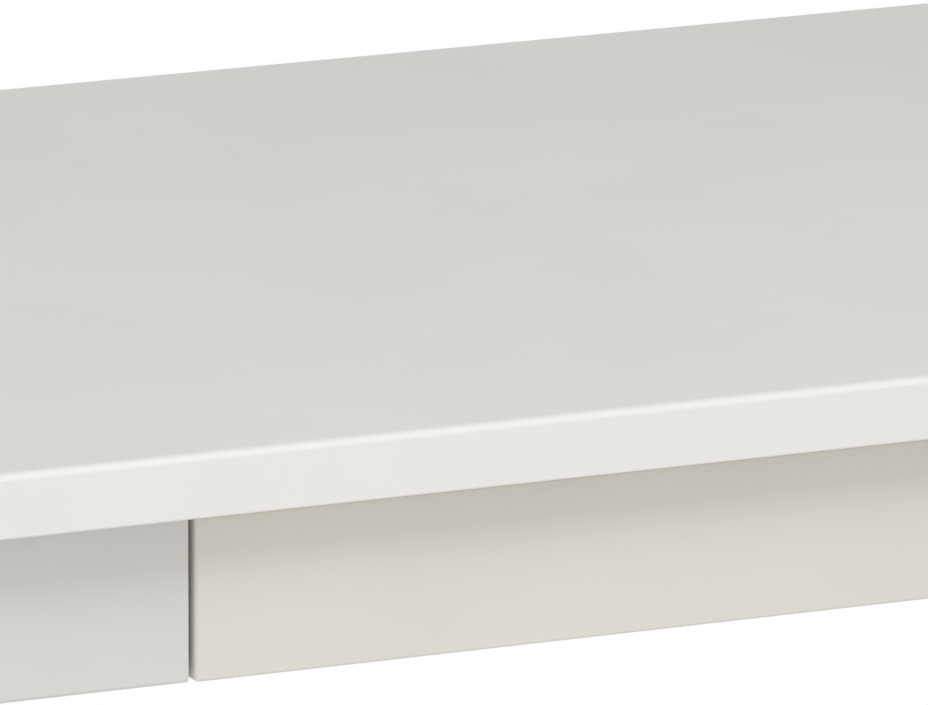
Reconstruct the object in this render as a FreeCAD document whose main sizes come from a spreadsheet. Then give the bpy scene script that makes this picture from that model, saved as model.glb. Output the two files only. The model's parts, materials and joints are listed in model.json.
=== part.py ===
import FreeCAD, Part
import os
import re

import Sketcher

# A worktop with one wide, shallow drawer hung under its front edge, between two folded steel aprons.
# Frame: +Z up, -Y towards the person at the desk, X along the width.
# Origin: centre of the worktop's underside, which is also the centre of the four leg bolts.
# The right half is modelled, and every left-hand piece is its mirror image across X = 0.

SIZES = {
    # worktop
    "top_width": 800,
    "top_depth": 600,
    "top_thickness": 25,
    "band_thickness": 3.5,
    "edge_radius": 3.3,
    "lower_edge_radius": 0.8,
    "overhang": 15,
    # folded steel aprons round the underside
    "sheet": 1.5,
    "apron_height": 67,
    "back_height": 60,
    "fascia_gap": 2,
    "fascia_return": 18,
    "back_return": 60,
    "flange": 25,
    "back_flange": 20,
    "back_gap": 2,
    "lip": 12,
    "bend_radius": 3,
    # drawer front, set between the two fascias
    "front_width": 563,
    "front_thickness": 19,
    "front_clearance": 3,
    "front_proud": 2.2,
    "front_lift": 0.4,
    "front_end_radius": 2,
    "front_radius": 1,
    # drawer box
    "side_thickness": 12,
    "side_height": 50,
    "side_length": 500,
    "side_drop": 9,
    "bottom_thickness": 3,
    "groove_height": 3.2,
    "groove_rise": 7.8,
    "groove_depth": 6,
    "bottom_play": 0.5,
    "rail_play": 0.5,
    # roller runners and the brackets that hang them
    "bracket_cover": 4.5,
    "bracket_start": 264,
    "bracket_height": 63,
    "bracket_lip": 8,
    "runner_length": 500,
    "runner_room": 12.5,
    "runner_sheet": 1.2,
    "track_flange": 9.6,
    "anti_tip_flange": 4.9,
    "rail_flange": 4.5,
    "rail_foot": 9,
    "stop_height": 4,
    "stop_inset": 1,
    "stop_play": 0.5,
    "travel": 370,
    # rollers and their axles
    "roller_radius": 9,
    "roller_width": 7.6,
    "roller_chamfer": 0.8,
    "roller_end": 14,
    "rolling_play": 0.05,
    "front_lift": 0.5,
    "track_play": 0.9,
    "axle_radius": 2.5,
    "axle_play": 0.05,
    "axle_head": 1,
    "axle_head_radius": 4,
    "roller_side_play": 0.2,
    "roller_web_play": 0.8,
    # leg bolts
    "leg_spacing_across": 662,
    "leg_spacing_deep": 474,
    "insert_radius": 6,
    "insert_bore": 3.4,
    "insert_length": 15,
    "insert_flange_radius": 8,
    "insert_flange": 1.2,
    # wood screws with pan heads, and countersunk ones
    "screw_radius": 1.75,
    "screw_length": 14,
    "screw_head": 2,
    "screw_head_radius": 3.5,
    "long_screw": 35,
    "screw_tip": 3,
    "head_flat": 0.7,
    "head_rim": 0.4,
    "bracket_screw_reach": 200,
    "flange_screw_reach": 180,
    "back_apron_screw_reach": 220,
    "bottom_screw_reach": 160,
    "rail_screw_inset": 3,
    "rail_screw_end": 33,
    "back_screw_drop": 17,
    "back_screw_spacing": 15,
    # rivets, bolts and nuts in the sheet steel
    "rivet_radius": 1.6,
    "rivet_head": 0.5,
    "rivet_head_radius": 2.4,
    "rivet_tail": 1.2,
    "rivet_tail_radius": 1.5,
    "rivet_end": 44,
    "rivet_rise": 3,
    "bolt_radius": 2.5,
    "bolt_length": 9,
    "bolt_head": 2.6,
    "bolt_head_radius": 4.8,
    "bolt_drop": 18,
    "bolt_spacing": 26,
    "nut_height": 4,
    "nut_radius": 4.6,
    # dowels and cam fittings between the drawer front and sides
    "dowel_radius": 3,
    "dowel_length": 30,
    "dowel_in_front": 12,
    "dowel_chamfer": 0.8,
    "dowel_offset": 13,
    "cam_radius": 6,
    "cam_height": 10,
    "cam_setback": 24,
    "cam_drop": 29,
    "cam_bolt_thread": 2.5,
    "cam_bolt_shank": 2,
    "cam_bolt_head": 3,
    "cam_bolt_in_front": 11,
    "cam_bolt_length": 34.5,
    "cam_bolt_head_length": 3.5,
}

# Places that several pieces share, as formulas of the sizes.
FASCIA_EDGE = "(front_width / 2 + fascia_gap)"
APRON_SIDE = "(top_width / 2 - overhang)"
APRON_END = "(top_depth / 2 - overhang)"
FRONT_BACK = "(top_depth / 2 - overhang + front_proud - front_thickness)"
BACK_HALF = f"({APRON_SIDE} - flange - back_gap)"
BRACKET_FACE = "(front_width / 2 - bracket_cover)"
BOX_FACE = f"({BRACKET_FACE} - runner_room)"
BOX_INSIDE = f"({BOX_FACE} - side_thickness)"
BOX_BACK = f"(side_length - {FRONT_BACK})"
SIDE_BOTTOM = "(side_drop + side_height)"
GROOVE_TOP = f"({SIDE_BOTTOM} - groove_rise - groove_height)"
TRACK = f"-{SIDE_BOTTOM}"
REAR_AXLE_Z = f"({TRACK} + roller_radius + rolling_play)"
FRONT_AXLE_Z = f"({REAR_AXLE_Z} + front_lift)"
FRONT_AXLE_Y = "(roller_end - bracket_start)"
REAR_AXLE_Y = "(runner_length - bracket_start - roller_end)"
RAIL_TOP = f"({FRONT_AXLE_Z} + roller_radius + rolling_play + runner_sheet)"
TRACK_ROOF = f"({REAR_AXLE_Z} + roller_radius + track_play)"

FRONT_ROLLER_X = f"({BRACKET_FACE} - runner_sheet - roller_web_play - roller_width)"
REAR_ROLLER_X = f"({BOX_FACE} + runner_sheet + roller_web_play)"
AXLE_LENGTH = "(roller_side_play + roller_width + roller_web_play + runner_sheet)"
TOUCH = 0.01

doc = FreeCAD.newDocument("DeskDrawer")
sheet = doc.addObject("Spreadsheet::Sheet", "Sizes")
nodes = {}


def write_sizes():
    """One row per driving dimension: its name beside its value, which carries the same alias."""
    for row, (alias, number) in enumerate(SIZES.items(), start=1):
        sheet.set(f"A{row}", alias)
        sheet.set(f"B{row}", str(number))
        sheet.setAlias(f"B{row}", alias)
    doc.recompute()


def value(formula):
    """The present number of a formula of size names."""
    return float(sheet.evalExpression(formula))


def bind(item, prop, formula):
    """Tie a property to the sheet."""
    item.setExpression(prop, re.sub(r"[a-z][a-z_]+", r"Sizes.\g<0>", formula))


def place(item, x="0", y="0", z="0", prop="Placement"):
    for axis, formula in zip("xyz", (x, y, z)):
        bind(item, f"{prop}.Base.{axis}", formula)


def keep(label, item):
    """Register a finished sub-part under the name its file will have."""
    item.Label = label
    nodes[label] = item
    return item


def origin_feature(body, role):
    return next(item for item in body.Origin.OriginFeatures if item.Role == role)


def outline(body, role, points, height="0"):
    """A closed outline of straight edges, every corner tied to the sheet, on a plane of the body."""
    sketch = body.newObject("Sketcher::SketchObject", "outline")
    sketch.AttachmentSupport = [(origin_feature(body, role), "")]
    sketch.MapMode = "FlatFace"
    bind(sketch, "AttachmentOffset.Base.z", height)
    corners = [FreeCAD.Vector(value(u), value(v), 0) for u, v in points]
    count = len(corners)
    for index in range(count):
        sketch.addGeometry(Part.LineSegment(corners[index], corners[(index + 1) % count]))
    for index in range(count):
        sketch.addConstraint(Sketcher.Constraint("Coincident", index, 2, (index + 1) % count, 1))
    for index, (u, v) in enumerate(points):
        for kind, formula in (("DistanceX", u), ("DistanceY", v)):
            number = sketch.addConstraint(Sketcher.Constraint(kind, -1, 1, index, 1, value(formula)))
            bind(sketch, f"Constraints[{number}]", formula)
    return sketch


def new_body(label):
    body = doc.addObject("PartDesign::Body", label)
    body.Label = label
    return body


def pad(body, role, points, length, height="0", reverse=False):
    """Extrude an outline. On XZ_Plane the normal is -Y, so reverse makes the pad grow along +Y."""
    feature = body.newObject("PartDesign::Pad", "pad")
    feature.Profile = outline(body, role, points, height)
    bind(feature, "Length", length)
    feature.Reversed = reverse
    doc.recompute()
    return feature


def turned(label, points, axis="Z_Axis"):
    """Revolve a half outline, drawn in XZ, about an axis of its body."""
    body = new_body(label)
    feature = body.newObject("PartDesign::Revolution", "turned")
    feature.Profile = outline(body, "XZ_Plane", points)
    feature.ReferenceAxis = (origin_feature(body, axis), [""])
    feature.Angle = 360
    doc.recompute()
    return body


def soften(body, base, radius, wanted):
    """Round the edges of the last feature that wanted() picks."""
    names = [f"Edge{n}" for n, edge in enumerate(base.Shape.Edges, start=1) if wanted(edge.BoundBox)]
    feature = body.newObject("PartDesign::Fillet", "soften")
    feature.Base = (base, names)
    bind(feature, "Radius", radius)
    doc.recompute()
    return feature


def box(label, low, size):
    """A board or block from its lowest corner and its size."""
    item = doc.addObject("Part::Box", label)
    for prop, formula in zip(("Length", "Width", "Height"), size):
        bind(item, prop, formula)
    place(item, *low)
    return item


def together(label, items):
    item = doc.addObject("Part::Compound", label)
    item.Links = items
    return item


def cut(label, base, tools):
    item = doc.addObject("Part::Cut", label)
    item.Base = base
    item.Tool = together(f"{label}_tools", tools)
    doc.recompute()
    return item


def mirrored(label, source):
    """The left-hand twin of a right-hand piece."""
    item = doc.addObject("Part::Mirroring", label)
    item.Source = source
    item.Normal = (1, 0, 0)
    return keep(label, item)


TURNS = {
    "up": FreeCAD.Rotation(),
    "right": FreeCAD.Rotation(FreeCAD.Vector(0, 1, 0), 90),
    "left": FreeCAD.Rotation(FreeCAD.Vector(0, 1, 0), -90),
    "back": FreeCAD.Rotation(FreeCAD.Vector(1, 0, 0), -90),
    "forward": FreeCAD.Rotation(FreeCAD.Vector(1, 0, 0), 90),
}


def group(label, master, places):
    """Copies of one master, each at (x, y, z) and pointing one of the ways in TURNS."""
    copies = []
    for number, (x, y, z, way) in enumerate(places, start=1):
        link = doc.addObject("App::Link", f"{label}_{number}")
        link.LinkedObject = master
        link.LinkPlacement = FreeCAD.Placement(FreeCAD.Vector(), TURNS[way])
        place(link, x, y, z, prop="LinkPlacement")
        copies.append(link)
    doc.recompute()
    return together(label, copies)


# Fasteners. Each group is made first, so that the pieces it joins are cut by it and fit it exactly.

def pan_head(radius, height):
    """The half outline of a low domed head that stands below its origin."""
    return [
        ("0", f"-{height}"),
        (f"{radius} * head_flat", f"-{height}"),
        (radius, f"-{height} * head_rim"),
        (radius, "0")]


def pan_screw():
    return turned("pan_screw", pan_head("screw_head_radius", "screw_head") + [
        ("screw_radius", "0"),
        ("screw_radius", "screw_length - screw_tip"),
        ("0", "screw_length")])


def countersunk_screw():
    return turned("countersunk_screw", [
        ("0", "0"),
        ("screw_head_radius", "0"),
        ("screw_radius", "screw_head"),
        ("screw_radius", "long_screw - screw_tip"),
        ("0", "long_screw")])


def rivet():
    grip = "runner_sheet + sheet"
    return turned("rivet", [
        ("0", "-rivet_head"),
        ("rivet_head_radius", "-rivet_head"),
        ("rivet_head_radius", "0"),
        ("rivet_radius", "0"),
        ("rivet_radius", grip),
        ("rivet_head_radius", grip),
        ("rivet_tail_radius", f"{grip} + rivet_tail"),
        ("0", f"{grip} + rivet_tail")])


def apron_bolt():
    return turned("apron_bolt", pan_head("bolt_head_radius", "bolt_head") + [
        ("bolt_radius", "0"),
        ("bolt_radius", "bolt_length"),
        ("0", "bolt_length")])


def dowel():
    return turned("dowel", [
        ("0", "0"),
        ("dowel_radius - dowel_chamfer", "0"),
        ("dowel_radius", "dowel_chamfer"),
        ("dowel_radius", "dowel_length - dowel_chamfer"),
        ("dowel_radius - dowel_chamfer", "dowel_length"),
        ("0", "dowel_length")])


def cam_bolt():
    neck = "cam_bolt_length - cam_bolt_head_length"
    return turned("cam_bolt", [
        ("0", "0"),
        ("cam_bolt_thread", "0"),
        ("cam_bolt_thread", "cam_bolt_in_front"),
        ("cam_bolt_shank", "cam_bolt_in_front"),
        ("cam_bolt_shank", neck),
        ("cam_bolt_head", neck),
        ("cam_bolt_head", "cam_bolt_length"),
        ("0", "cam_bolt_length")])


def insert_nut():
    """A threaded insert, flange down, with its bore open right through."""
    return turned("insert_nut", [
        ("insert_bore", "0"),
        ("insert_flange_radius", "0"),
        ("insert_flange_radius", "insert_flange"),
        ("insert_radius", "insert_flange"),
        ("insert_radius", "insert_length"),
        ("insert_bore", "insert_length")])


def cylinder(label, radius, height):
    item = doc.addObject("Part::Cylinder", label)
    bind(item, "Radius", radius)
    bind(item, "Height", height)
    return item


def both_sides(x, y, z, way="up", other_way=None):
    return [(x, y, z, way), (f"-{x}", y, z, other_way or way)]


def front_and_back(reach):
    return (f"-{reach}", "0", reach)


def worktop_screws(screw):
    """Up through the brackets, the aprons' side flanges, the fascias and the back apron."""
    under = "-sheet"
    places = []
    for y in front_and_back("bracket_screw_reach"):
        places += both_sides(f"({BRACKET_FACE} + (flange + sheet) / 2)", y, under)
    for y in front_and_back("flange_screw_reach"):
        places += both_sides(f"({APRON_SIDE} - flange / 2)", y, under)
    places += both_sides(
        f"(({FASCIA_EDGE} + {APRON_SIDE}) / 2)", f"(fascia_return + sheet) / 2 - {APRON_END}", under)
    for x in front_and_back("back_apron_screw_reach"):
        places.append((x, f"{APRON_END} - sheet - back_flange / 2", under, "up"))
    keep("worktop_screws", group("worktop_screws", screw, places))


def runner_rivets():
    """Three along each runner, through its web and the bracket's."""
    places = []
    for along in ("rivet_end", "runner_length / 2", "runner_length - rivet_end"):
        places += both_sides(
            f"({BRACKET_FACE} - runner_sheet)", f"{along} - bracket_start", f"{TRACK} + rivet_rise",
            "right", "left")
    keep("runner_rivets", group("runner_rivets", rivet(), places))


def apron_joint(y):
    """Two places above each other where the back apron overlaps each side apron's return."""
    places = []
    for drop in ("bolt_drop", "(bolt_drop + bolt_spacing)"):
        places += both_sides(f"(({APRON_SIDE} - back_return + {BACK_HALF}) / 2)", y, f"-{drop}", "forward")
    return places


def apron_bolts_and_nuts():
    bolts = keep("apron_bolts", group("apron_bolts", apron_bolt(), apron_joint(APRON_END)))
    prism = doc.addObject("Part::Prism", "nut")
    prism.Polygon = 6
    bind(prism, "Circumradius", "nut_radius")
    bind(prism, "Height", "nut_height")
    blanks = group("nut_blanks", prism, apron_joint(f"{APRON_END} - sheet * 2"))
    keep("apron_nuts", cut("apron_nuts", blanks, [bolts]))


def front_corner(z, into_front):
    """Where a fitting runs back from inside the drawer front into the end of each side."""
    return both_sides(f"({BOX_FACE} - side_thickness / 2)", f"-{FRONT_BACK} - {into_front}", z, "back")


def front_fittings():
    """At each side: two dowels, and between them a bolt with its cam disc; returns the whole discs."""
    pins = []
    for z in ("-(cam_drop - dowel_offset)", "-(cam_drop + dowel_offset)"):
        pins += front_corner(z, "dowel_in_front")
    keep("dowels", group("dowels", dowel(), pins))
    bolts = keep("cam_bolts", group("cam_bolts", cam_bolt(), front_corner("-cam_drop", "cam_bolt_in_front")))
    disc = cylinder("cam_disc", "cam_radius", "cam_height")
    discs = group("cam_blanks", disc, both_sides(
        BOX_INSIDE, f"(cam_setback - {FRONT_BACK})", "-cam_drop", "right", "left"))
    keep("cam_locks", cut("cam_locks", discs, [bolts]))
    return discs


def drawer_screws(screw):
    """Through the sides into the back, up through the runners' feet, and up through the bottom."""
    back_middle = f"({BOX_BACK} - side_thickness / 2)"
    places = []
    for drop in ("back_screw_drop", "(back_screw_drop + back_screw_spacing)"):
        places += both_sides(BOX_FACE, back_middle, f"-{drop}", "left", "right")
    keep("drawer_back_screws", group("drawer_back_screws", countersunk_screw(), places))
    places = []
    for along in ("rail_screw_end", "side_length / 2", "side_length - rail_screw_end"):
        places += both_sides(
            f"({BOX_FACE} - rail_screw_inset)", f"{along} - {FRONT_BACK}", f"{TRACK} - runner_sheet")
    keep("drawer_runner_screws", group("drawer_runner_screws", screw, places))
    keep("drawer_bottom_screws", group("drawer_bottom_screws", screw, [
        (x, back_middle, f"-{GROOVE_TOP} - bottom_thickness", "up")
        for x in front_and_back("bottom_screw_reach")]))


def leg_places():
    """The four leg bolts' axes, at the underside."""
    places = []
    for y in ("-leg_spacing_deep / 2", "leg_spacing_deep / 2"):
        places += both_sides("(leg_spacing_across / 2)", y, "0")
    return places


# Worktop: a foil-faced board with a thick rounded band on each edge.

def worktop():
    board = box(
        "worktop_blank",
        ("band_thickness - top_width / 2", "band_thickness - top_depth / 2", "0"),
        ("top_width - band_thickness * 2", "top_depth - band_thickness * 2", "top_thickness"))
    keep("leg_insert_nuts", group("leg_insert_nuts", insert_nut(), leg_places()))
    shanks = group("shanks", cylinder("insert_shank", "insert_radius", "insert_length"), leg_places())
    seats = group("seats", cylinder("insert_seat", "insert_flange_radius", "insert_flange"), leg_places())
    keep("worktop_board", cut("worktop_board", board, [nodes["worktop_screws"], shanks, seats]))


def long_edge_band():
    """Front band over the whole width, well rounded above and round its ends, and eased below.

    The back band is its twin."""
    band = new_body("worktop_band_front")
    half = "top_depth / 2"
    profile = [
        (f"-{half}", "0"),
        (f"-{half}", "top_thickness"),
        (f"band_thickness - {half}", "top_thickness"),
        (f"band_thickness - {half}", "0")]
    base = pad(band, "YZ_Plane", profile, "top_width")
    outer = -value(half)
    end = value("top_width")

    inner = outer + value("band_thickness")

    def upper(edge):
        along_end = edge.YLength > TOUCH and (edge.XMin > end - TOUCH or edge.XMax < TOUCH)
        return edge.ZMax > TOUCH and (edge.YMax < outer + TOUCH or along_end)

    rounded = soften(band, base, "edge_radius", upper)
    soften(band, rounded, "lower_edge_radius", lambda edge: edge.ZMax < TOUCH and edge.YMin < inner - TOUCH)
    place(band, x="-top_width / 2")
    keep("worktop_band_front", band)
    back = doc.addObject("Part::Mirroring", "worktop_band_back")
    back.Source = band
    back.Normal = (0, 1, 0)
    keep("worktop_band_back", back)


def end_bands():
    band = new_body("worktop_band_right")
    profile = [
        ("top_width / 2 - band_thickness", "0"),
        ("top_width / 2 - band_thickness", "top_thickness"),
        ("top_width / 2", "top_thickness"),
        ("top_width / 2", "0")]
    length = "top_depth - band_thickness * 2"
    base = pad(band, "XZ_Plane", profile, length, reverse=True)
    outer = value("top_width / 2")

    def outside(edge):
        return edge.XMin > outer - TOUCH and edge.YLength > TOUCH

    rounded = soften(band, base, "edge_radius", lambda edge: outside(edge) and edge.ZMin > TOUCH)
    soften(band, rounded, "lower_edge_radius", lambda edge: outside(edge) and edge.ZMax < TOUCH)
    place(band, y="band_thickness - top_depth / 2")
    keep("worktop_band_right", band)
    mirrored("worktop_band_left", band)


# Sheet steel under the worktop.

def side_apron():
    """One folded sheet: fascia beside the drawer, outer wall along the end, and a return at the back."""
    apron = new_body("side_apron_blank")
    wall = [
        (FASCIA_EDGE, f"-{APRON_END}"),
        (APRON_SIDE, f"-{APRON_END}"),
        (APRON_SIDE, APRON_END),
        (f"{APRON_SIDE} - back_return", APRON_END),
        (f"{APRON_SIDE} - back_return", f"{APRON_END} - sheet"),
        (f"{APRON_SIDE} - sheet", f"{APRON_END} - sheet"),
        (f"{APRON_SIDE} - sheet", f"sheet - {APRON_END}"),
        (f"{FASCIA_EDGE} + sheet", f"sheet - {APRON_END}"),
        (f"{FASCIA_EDGE} + sheet", f"fascia_return - {APRON_END}"),
        (FASCIA_EDGE, f"fascia_return - {APRON_END}")]
    walls = pad(apron, "XY_Plane", wall, "apron_height")
    side = value(APRON_SIDE)
    soften(apron, walls, "bend_radius", lambda edge: edge.XMin > side - TOUCH and edge.YLength < TOUCH)
    for depth, front, height in (
            ("flange", "fascia_return", "apron_height - sheet"), ("lip", "lip", "0")):
        shelf = [
            (f"{FASCIA_EDGE} + sheet", f"sheet - {APRON_END}"),
            (f"{APRON_SIDE} - sheet", f"sheet - {APRON_END}"),
            (f"{APRON_SIDE} - sheet", f"{APRON_END} - sheet"),
            (f"{APRON_SIDE} - {depth}", f"{APRON_END} - sheet"),
            (f"{APRON_SIDE} - {depth}", f"{front} - {APRON_END}"),
            (f"{FASCIA_EDGE} + sheet", f"{front} - {APRON_END}")]
        pad(apron, "XY_Plane", shelf, "sheet", height)
    place(apron, z="-apron_height")
    fixings = [nodes["worktop_screws"], nodes["apron_bolts"]]
    keep("side_apron_right", cut("side_apron_right", apron, fixings))
    mirrored("side_apron_left", nodes["side_apron_right"])


def back_apron():
    """A channel across the back, bolted inside the two side aprons' returns."""
    apron = new_body("back_apron_blank")
    outer = f"{APRON_END} - sheet"
    profile = [
        (f"{outer} - back_flange", "0"),
        (outer, "0"),
        (outer, "-back_height"),
        (f"{outer} - lip", "-back_height"),
        (f"{outer} - lip", "sheet - back_height"),
        (f"{outer} - sheet", "sheet - back_height"),
        (f"{outer} - sheet", "-sheet"),
        (f"{outer} - back_flange", "-sheet")]
    pad(apron, "YZ_Plane", profile, f"{BACK_HALF} * 2")
    place(apron, x=f"-{BACK_HALF}")
    keep("back_apron", cut("back_apron", apron, [nodes["worktop_screws"], nodes["apron_bolts"]]))


def runner_bracket():
    """A folded Z that hangs the runner: flange up against the worktop, web beside the drawer."""
    bracket = new_body("runner_bracket_blank")
    profile = [
        (BRACKET_FACE, "-bracket_height"),
        (BRACKET_FACE, "0"),
        (f"{BRACKET_FACE} + flange", "0"),
        (f"{BRACKET_FACE} + flange", "-sheet"),
        (f"{BRACKET_FACE} + sheet", "-sheet"),
        (f"{BRACKET_FACE} + sheet", "sheet - bracket_height"),
        (f"{BRACKET_FACE} + bracket_lip", "sheet - bracket_height"),
        (f"{BRACKET_FACE} + bracket_lip", "-bracket_height")]
    pad(bracket, "XZ_Plane", profile, "runner_length", reverse=True)
    place(bracket, y="-bracket_start")
    fixings = [nodes["worktop_screws"], nodes["runner_rivets"]]
    keep("runner_bracket_right", cut("runner_bracket_right", bracket, fixings))
    mirrored("runner_bracket_left", nodes["runner_bracket_right"])


# Roller runners.

def cabinet_runner():
    """A channel with a track for the rear roller, a narrow roof that stops the drawer tipping, and
    two tabs bent up from the track that stop the roller at each end of its travel."""
    runner = new_body("cabinet_runner_blank")
    web = f"({BRACKET_FACE} - runner_sheet)"
    profile = [
        (f"{web} - track_flange", f"{TRACK} - runner_sheet"),
        (BRACKET_FACE, f"{TRACK} - runner_sheet"),
        (BRACKET_FACE, f"{TRACK_ROOF} + runner_sheet"),
        (f"{web} - anti_tip_flange", f"{TRACK_ROOF} + runner_sheet"),
        (f"{web} - anti_tip_flange", TRACK_ROOF),
        (web, TRACK_ROOF),
        (web, TRACK),
        (f"{web} - track_flange", TRACK)]
    pad(runner, "XZ_Plane", profile, "runner_length", reverse=True)
    place(runner, y="-bracket_start")
    tab = [
        (f"{web} - track_flange + stop_inset", TRACK),
        (f"{web} - stop_inset", TRACK),
        (f"{web} - stop_inset", f"{TRACK} + stop_height"),
        (f"{web} - track_flange + stop_inset", f"{TRACK} + stop_height")]
    closed = "(runner_length - roller_end)"
    reach = "(roller_radius + stop_play)"
    for start in (f"{closed} + {reach}", f"{closed} - travel - {reach} - sheet"):
        pad(runner, "XZ_Plane", tab, "sheet", height=f"-({start})", reverse=True)
    fixings = [nodes["runner_rivets"], nodes["front_axle_right"]]
    keep("cabinet_runner_right", cut("cabinet_runner_right", runner, fixings))
    mirrored("cabinet_runner_left", nodes["cabinet_runner_right"])


def drawer_runner():
    """A Z that carries the drawer side on its foot and rides the front roller on its top flange."""
    runner = new_body("drawer_runner_blank")
    web = f"({BOX_FACE} + runner_sheet)"
    profile = [
        (f"{BOX_FACE} - rail_foot", f"{TRACK} - runner_sheet"),
        (web, f"{TRACK} - runner_sheet"),
        (web, f"{RAIL_TOP} - runner_sheet"),
        (f"{web} + rail_flange", f"{RAIL_TOP} - runner_sheet"),
        (f"{web} + rail_flange", RAIL_TOP),
        (BOX_FACE, RAIL_TOP),
        (BOX_FACE, TRACK),
        (f"{BOX_FACE} - rail_foot", TRACK)]
    pad(runner, "XZ_Plane", profile, "side_length - rail_play * 2", reverse=True)
    place(runner, y=f"rail_play - {FRONT_BACK}")
    fixings = [nodes["drawer_runner_screws"], nodes["rear_axle_right"]]
    keep("drawer_runner_right", cut("drawer_runner_right", runner, fixings))
    mirrored("drawer_runner_left", nodes["drawer_runner_right"])


def roller(label, x, y, z):
    """A nylon roller on its side, its inner face at x."""
    wheel = turned(label, [
        ("0", "axle_radius + axle_play"),
        ("0", "roller_radius - roller_chamfer"),
        ("roller_chamfer", "roller_radius"),
        ("roller_width - roller_chamfer", "roller_radius"),
        ("roller_width", "roller_radius - roller_chamfer"),
        ("roller_width", "axle_radius + axle_play")], axis="X_Axis")
    place(wheel, x, y, z)
    keep(f"{label}_right", wheel)
    mirrored(f"{label}_left", wheel)


def axle(label, x, y, z, outward):
    """A riveted axle: its head holds the roller and its end is closed in the runner's web."""
    sign = "" if outward else "-"
    pin = turned(label, [
        ("0", "0"),
        (f"{sign}(0 - axle_head)", "0"),
        (f"{sign}(0 - axle_head)", "axle_head_radius"),
        ("0", "axle_head_radius"),
        ("0", "axle_radius"),
        (f"{sign}{AXLE_LENGTH}", "axle_radius"),
        (f"{sign}{AXLE_LENGTH}", "0")], axis="X_Axis")
    place(pin, x, y, z)
    keep(f"{label}_right", pin)
    mirrored(f"{label}_left", pin)


# Drawer.

def drawer_front():
    front = new_body("drawer_front_blank")
    half = "(front_width / 2)"
    profile = [
        (f"-{half}", "front_lift - apron_height"),
        (half, "front_lift - apron_height"),
        (half, "-front_clearance"),
        (f"-{half}", "-front_clearance")]
    base = pad(front, "XZ_Plane", profile, "front_thickness", reverse=True)
    ends = soften(
        front, base, "front_end_radius",
        lambda edge: edge.YMax < TOUCH and edge.ZMax - edge.ZMin > TOUCH)
    soften(
        front, ends, "front_radius",
        lambda edge: edge.YMax < TOUCH and edge.ZMax - edge.ZMin < TOUCH)
    place(front, y=f"-{FRONT_BACK} - front_thickness")
    reach = f"({BOX_INSIDE} + groove_depth)"
    slot = box(
        "front_groove",
        (f"-{reach}", f"-{FRONT_BACK} - groove_depth", f"-{GROOVE_TOP} - groove_height"),
        (f"{reach} * 2", "groove_depth", "groove_height"))
    keep("drawer_front", cut("drawer_front", front, [slot, nodes["dowels"], nodes["cam_bolts"]]))


def drawer_side(cam_discs):
    board = box(
        "drawer_side_blank",
        (BOX_INSIDE, f"-{FRONT_BACK}", f"-{SIDE_BOTTOM}"),
        ("side_thickness", "side_length", "side_height"))
    slot = box(
        "side_groove",
        (BOX_INSIDE, f"-{FRONT_BACK}", f"-{GROOVE_TOP} - groove_height"),
        ("groove_depth", "side_length", "groove_height"))
    fixings = ["dowels", "cam_bolts", "drawer_back_screws", "drawer_runner_screws"]
    tools = [slot, cam_discs] + [nodes[name] for name in fixings]
    keep("drawer_side_right", cut("drawer_side_right", board, tools))
    mirrored("drawer_side_left", nodes["drawer_side_right"])


def drawer_back():
    board = box(
        "drawer_back_blank",
        (f"-{BOX_INSIDE}", f"{BOX_BACK} - side_thickness", f"-{GROOVE_TOP}"),
        (f"{BOX_INSIDE} * 2", "side_thickness", f"{GROOVE_TOP} - side_drop"))
    fixings = [nodes["drawer_back_screws"], nodes["drawer_bottom_screws"]]
    keep("drawer_back", cut("drawer_back", board, fixings))


def drawer_bottom():
    """A thin panel that slides in its grooves from behind and is screwed up to the back."""
    reach = f"({BOX_INSIDE} + groove_depth - bottom_play)"
    panel = box(
        "drawer_bottom_blank",
        (f"-{reach}", f"-{FRONT_BACK} - groove_depth", f"-{GROOVE_TOP} - bottom_thickness"),
        (f"{reach} * 2", "side_length + groove_depth", "bottom_thickness"))
    keep("drawer_bottom", cut("drawer_bottom", panel, [nodes["drawer_bottom_screws"]]))


def build():
    write_sizes()
    screw = pan_screw()
    worktop_screws(screw)
    runner_rivets()
    apron_bolts_and_nuts()
    worktop()
    long_edge_band()
    end_bands()
    side_apron()
    back_apron()
    runner_bracket()
    axle("front_axle", f"{FRONT_ROLLER_X} - roller_side_play", FRONT_AXLE_Y, FRONT_AXLE_Z, True)
    axle("rear_axle", f"{REAR_ROLLER_X} + roller_width + roller_side_play", REAR_AXLE_Y, REAR_AXLE_Z, False)
    roller("front_roller", FRONT_ROLLER_X, FRONT_AXLE_Y, FRONT_AXLE_Z)
    roller("rear_roller", REAR_ROLLER_X, REAR_AXLE_Y, REAR_AXLE_Z)
    cabinet_runner()
    cam_discs = front_fittings()
    drawer_screws(screw)
    drawer_runner()
    drawer_front()
    drawer_side(cam_discs)
    drawer_back()
    drawer_bottom()


def check_and_export():
    doc.recompute()
    for item in doc.Objects:
        if "Invalid" in item.State or "Error" in item.State:
            raise RuntimeError(f"{item.Label} failed: {item.State}")
    os.makedirs("parts", exist_ok=True)
    for label, item in nodes.items():
        shape = item.Shape
        if shape.isNull() or not shape.isValid() or not shape.Solids:
            raise RuntimeError(f"{label} has no valid solid")
        shape.exportStep(f"parts/{label}.step")
        print(f"{label}: {len(shape.Solids)} solid(s), {shape.Volume / 1000:.2f} cm3")




build()
check_and_export()
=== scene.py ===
"""Looks for a wide, shallow drawer hung under a white worktop between folded steel aprons.

Sizes are in metres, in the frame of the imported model: +Z up, the drawer opens along -Y, and the
origin is the centre of the worktop's underside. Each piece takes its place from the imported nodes.
"""
import json
import math

import bmesh
import bpy
from mathutils import Matrix, Vector


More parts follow.
